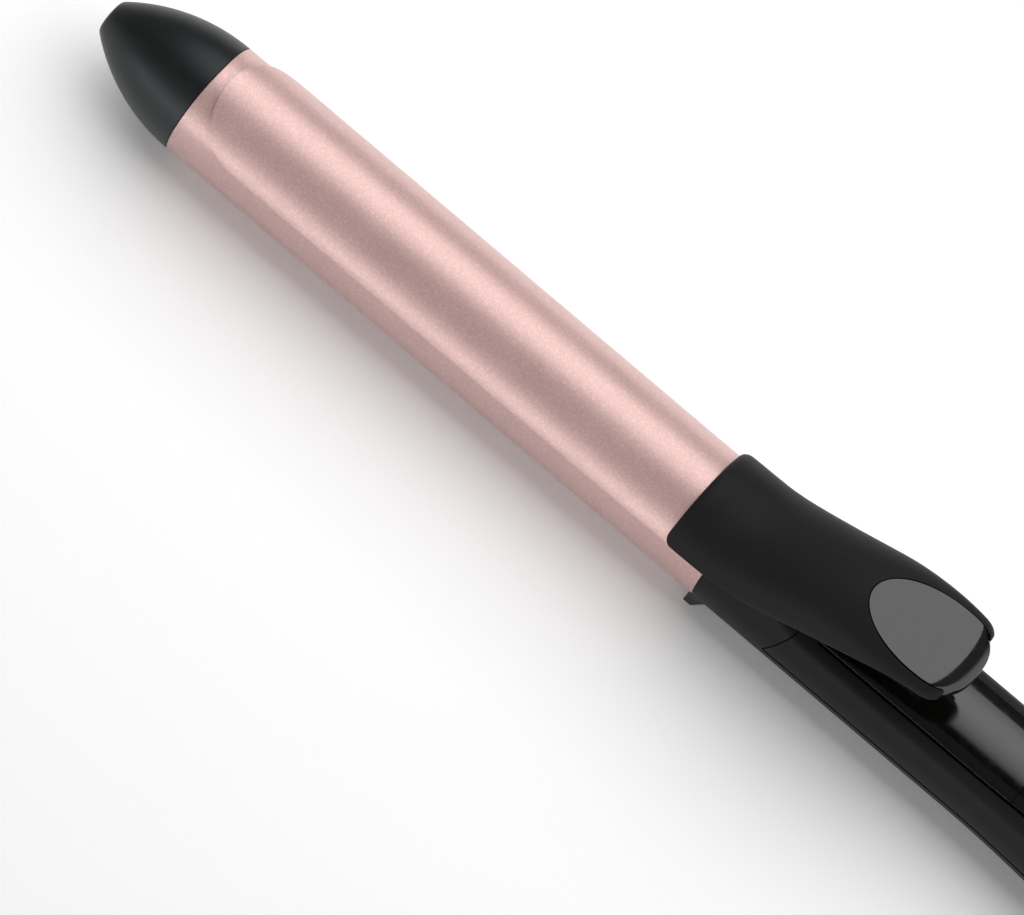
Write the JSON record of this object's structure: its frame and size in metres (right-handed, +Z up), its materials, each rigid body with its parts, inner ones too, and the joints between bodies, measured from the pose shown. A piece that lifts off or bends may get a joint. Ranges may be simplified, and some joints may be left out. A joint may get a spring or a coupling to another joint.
{
  "type": "curling iron",
  "caption": "Spring-clamp hair curling iron: round barrel with cool tip, sprung clamp on a domed thumb lever, clam-shell handle with panel, buttons and turning cord inlet.",
  "frame": {"origin": "centre of the bounding box in plan, on the plane that the rest foot stands on", "axes": "+X along the barrel axis from the cool tip to the cord inlet, +Y across the iron, +Z up to the thumb lever"},
  "size_m": [0.3634, 0.036, 0.0533],
  "materials": {
    "tip_black": "satin black, heat-proof",
    "insulator": "matte, fibre-filled",
    "barrel_plating": "pearl rose plating",
    "clamp_plating": "pearl rose plating",
    "spreader": "extruded",
    "ceramic": "sintered ceramic",
    "strip_metal": "rolled strip",
    "wrap_film": "polyimide film",
    "sensor_glass": "epoxy and sleeve",
    "fuse_case": "drawn can",
    "mount_plastic": "moulded, heat-proof",
    "shell_black": "fine matte moulding",
    "cover_black": "fine matte moulding",
    "pad_grey": "fine satin moulding",
    "panel_gloss": "high gloss",
    "button_plastic": "satin gloss",
    "hinge_steel": "bright steel",
    "spring_steel": "oiled spring wire",
    "screw_steel": "blackened steel",
    "board_green": "solder mask over glass laminate",
    "switch_body": "moulded",
    "led_body": "clear moulding",
    "lens_clear": "clear light guide",
    "chip_black": "moulded package",
    "capacitor_yellow": "boxed film capacitor",
    "lead_insulation": "glass-silicone sleeve",
    "supply_insulation": "silicone sleeve",
    "brass_contact": "bright",
    "brush_plastic": "moulded",
    "ring_black": "satin gloss",
    "swivel_black": "matte moulding"
  },
  "bodies": {
    "handle": {"cool_tip": "tip_black", "tip_insulator": "insulator", "barrel_tube": "barrel_plating", "heat_spreader_upper": "spreader", "heat_spreader_lower": "spreader", "ptc_stones": "ceramic", "electrode_strips": "strip_metal", "heater_wrap": "wrap_film", "thermistor": "sensor_glass", "thermal_fuse": "fuse_case", "barrel_mount": "mount_plastic", "lower_shell": "shell_black", "upper_shell": "shell_black", "top_panel": "panel_gloss", "control_panel": "panel_gloss", "shell_screws": "screw_steel", "hinge_pin": "hinge_steel", "pin_clip": "hinge_steel", "return_spring": "spring_steel", "circuit_board": "board_green", "tact_switches": "switch_body", "indicator_leds": "led_body", "indicator_lenses": "lens_clear", "triac": "chip_black", "capacitor": "capacitor_yellow", "board_screws": "screw_steel", "heater_leads": "lead_insulation", "supply_leads": "supply_insulation", "brush_block": "brush_plastic", "contact_brushes": "brass_contact", "tail_ring": "ring_black"},
    "lever": {"clamp_tongue": "clamp_plating", "lever_bracket": "hinge_steel", "clamp_rivets": "hinge_steel", "lever_cover": "cover_black", "thumb_pad": "pad_grey", "lever_screws": "screw_steel"},
    "power_button": {"power_button": "button_plastic"},
    "plus_button": {"plus_button": "button_plastic"},
    "minus_button": {"minus_button": "button_plastic"},
    "swivel": {"cord_swivel": "swivel_black", "slip_rings": "brass_contact"}
  },
  "joints": [
    {"name": "lever_pivot", "type": "hinge", "parent": "handle", "child": "lever", "pos_m": [0.03475, 0, 0.0323], "axis": [0, 1, 0], "range_deg": [0, 15], "stiffness_Nm_per_rad": 1.2, "springref_deg": -20.05, "deforming": ["return_spring"]},
    {"name": "power_button_press", "type": "slide", "parent": "handle", "child": "power_button", "axis": [0, 0, -1], "range_m": [0, 0.0005], "stiffness_N_per_m": 400},
    {"name": "plus_button_press", "type": "slide", "parent": "handle", "child": "plus_button", "axis": [0, 0, -1], "range_m": [0, 0.0005], "stiffness_N_per_m": 400},
    {"name": "minus_button_press", "type": "slide", "parent": "handle", "child": "minus_button", "axis": [0, 0, -1], "range_m": [0, 0.0005], "stiffness_N_per_m": 400},
    {"name": "cord_swivel", "type": "hinge", "parent": "handle", "child": "swivel", "pos_m": [0.1668, 0, 0.018], "axis": [1, 0, 0], "continuous": true}
  ]
}
